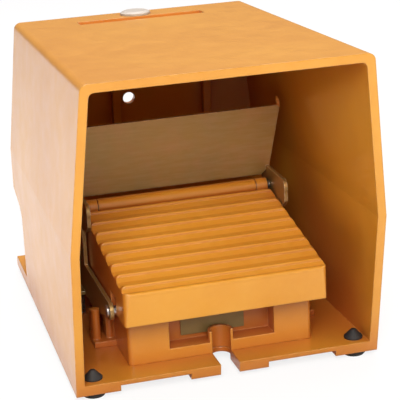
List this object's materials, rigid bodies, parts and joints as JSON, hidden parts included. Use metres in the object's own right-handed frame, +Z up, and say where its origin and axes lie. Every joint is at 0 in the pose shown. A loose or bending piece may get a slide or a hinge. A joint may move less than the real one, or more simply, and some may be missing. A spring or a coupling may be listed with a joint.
{
  "type": "industrial foot switch",
  "caption": "Guarded metal foot switch: an open-fronted shroud over a ribbed rear-hinged pedal, a swinging trigger plate behind the toes and a sealed contact housing beneath.",
  "frame": {"origin": "bottom centre of the bounding box, on the floor under the rubber feet", "axes": "+X to the right of the foot opening seen from the front, +Y from the foot opening to the cable entries at the back, +Z up"},
  "size_m": [0.16, 0.2196, 0.1666],
  "materials": {
    "orange_paint": "glossy orange-yellow enamel over a metal casting",
    "zinc_yellow": "yellow-passivated zinc plate",
    "steel": "bright zinc-plated steel",
    "dark_steel": "black-oxidised steel",
    "spring_steel": "drawn spring steel wire",
    "brass": "turned brass",
    "black_rubber": "matte black rubber",
    "label": "bare olive-brass coloured label blank",
    "grey_plastic": "moulded grey-beige plastic",
    "cream_plastic": "moulded cream insulating plastic",
    "red_plastic": "moulded red plastic"
  },
  "bodies": {
    "base": {"shroud": "orange_paint", "switch_housing": "orange_paint", "housing_gasket": "black_rubber", "cover_plate": "steel", "cover_screws": "steel", "housing_screws": "steel", "rubber_feet": "black_rubber", "roof_plug": "grey_plastic", "label_plate": "label", "hinge_pin": "steel", "hinge_clips": "dark_steel", "pivot_pins": "steel", "contact_bracket": "steel", "bracket_screws": "steel", "contact_blocks": "cream_plastic", "terminal_screws": "brass", "earth_screw": "brass", "entry_plug": "dark_steel", "entry_seal": "black_rubber", "plunger_guide": "brass", "plunger_boot": "black_rubber", "plunger_spring": "spring_steel", "pedal_buffers": "black_rubber", "pedal_spring": "spring_steel", "trigger_springs": "spring_steel"},
    "pedal": {"pedal": "orange_paint", "actuator_screw": "steel", "lock_nut": "steel"},
    "trigger": {"trigger": "zinc_yellow"},
    "plunger": {"plunger": "steel"},
    "pushers": {"contact_pushers": "red_plastic"}
  },
  "joints": [
    {"name": "pedal_hinge", "type": "hinge", "parent": "base", "child": "pedal", "pos_m": [0, 0.00425, 0.0694], "axis": [1, 0, 0], "range_deg": [0, 5], "stiffness_Nm_per_rad": 12, "springref_deg": -5.73, "deforming": ["pedal_spring"]},
    {"name": "trigger_hinge", "type": "hinge", "parent": "base", "child": "trigger", "pos_m": [0, -0.06225, 0.0358], "axis": [-1, 0, 0], "range_deg": [0, 8], "stiffness_Nm_per_rad": 1.5, "springref_deg": -14.32, "deforming": ["trigger_springs"]},
    {"name": "plunger_slide", "type": "slide", "parent": "base", "child": "plunger", "axis": [0, 0, -1], "range_m": [0, 0.003], "deforming": ["plunger_spring", "plunger_boot"]},
    {"name": "pushers_slide", "type": "slide", "parent": "base", "child": "pushers", "axis": [0, 0, -1], "range_m": [0, 0.003]}
  ],
  "couplings": [
    {"joint": "plunger_slide", "follows": "pedal_hinge", "m_per_rad": 0.034},
    {"joint": "pushers_slide", "follows": "pedal_hinge", "m_per_rad": 0.034}
  ]
}
